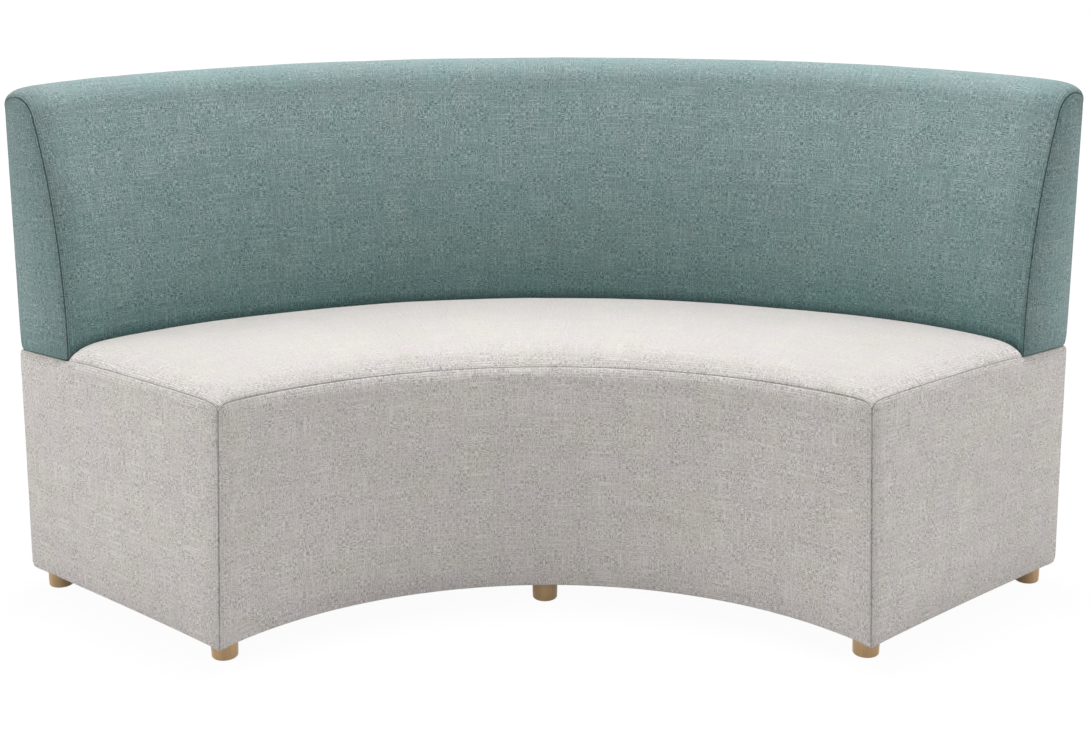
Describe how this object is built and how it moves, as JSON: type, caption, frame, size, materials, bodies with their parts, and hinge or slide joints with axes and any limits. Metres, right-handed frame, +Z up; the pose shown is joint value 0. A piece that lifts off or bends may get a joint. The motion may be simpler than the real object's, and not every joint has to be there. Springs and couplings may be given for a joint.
{
  "type": "curved banquette bench",
  "caption": "Curved upholstered banquette segment: padded seat box on short round wooden feet, with an upright padded back along its outer curve",
  "frame": {"origin": "on the floor, at the centre in plan of the bench's bounding box", "axes": "+X to the right as seen from the sitter's side, along the bench; +Y from the concave front to the convex rear; +Z up"},
  "size_m": [1.8744, 0.7931, 0.926],
  "materials": {
    "seat_fabric": "woven, two-tone melange, matt",
    "back_fabric": "woven, two-tone melange, matt",
    "under_cloth": "thin matt non-woven cloth",
    "foam": "open-cell, matt",
    "plywood": "plain sanded plywood",
    "bent_ply": "plain bent plywood",
    "block_wood": "plain sawn softwood",
    "foot_wood": "turned, clear satin lacquer",
    "glide_nylon": "moulded, matt",
    "zinc_steel": "bright zinc"
  },
  "bodies": {
    "root": {"bottom_plate": "plywood", "seat_deck": "plywood", "end_board_left": "plywood", "end_board_right": "plywood", "base_rib_outer_left": "plywood", "base_rib_inner_left": "plywood", "base_rib_inner_right": "plywood", "base_rib_outer_right": "plywood", "base_front_skin": "bent_ply", "base_rear_skin": "bent_ply", "rear_top_rail": "plywood", "seat_riser": "bent_ply", "foot_block_front_left": "block_wood", "foot_block_front_centre": "block_wood", "foot_block_front_right": "block_wood", "foot_block_rear_left": "block_wood", "foot_block_rear_centre": "block_wood", "foot_block_rear_right": "block_wood", "foot_front_left": "foot_wood", "foot_front_centre": "foot_wood", "foot_front_right": "foot_wood", "foot_rear_left": "foot_wood", "foot_rear_centre": "foot_wood", "foot_rear_right": "foot_wood", "foot_bolts": "zinc_steel", "foot_nuts": "zinc_steel", "foot_glides": "glide_nylon", "seat_foam": "foam", "front_padding": "foam", "end_padding_left": "foam", "end_padding_right": "foam", "rear_padding": "foam", "seat_cover": "seat_fabric", "front_cover": "seat_fabric", "end_cover_left": "seat_fabric", "end_cover_right": "seat_fabric", "rear_cover": "seat_fabric", "dust_cover": "under_cloth", "back_bottom_rail": "plywood", "back_top_rail": "plywood", "back_end_board_left": "plywood", "back_end_board_right": "plywood", "back_rib_left": "plywood", "back_rib_centre": "plywood", "back_rib_right": "plywood", "back_front_skin": "bent_ply", "back_rear_skin": "bent_ply", "back_foam": "foam", "back_end_padding_left": "foam", "back_end_padding_right": "foam", "back_rear_padding": "foam", "back_cover": "back_fabric", "back_end_cover_left": "back_fabric", "back_end_cover_right": "back_fabric", "back_rear_cover": "back_fabric", "back_bolts": "zinc_steel", "back_washers": "zinc_steel", "back_nuts": "zinc_steel", "base_screws": "zinc_steel", "back_screws": "zinc_steel"}
  },
  "joints": []
}
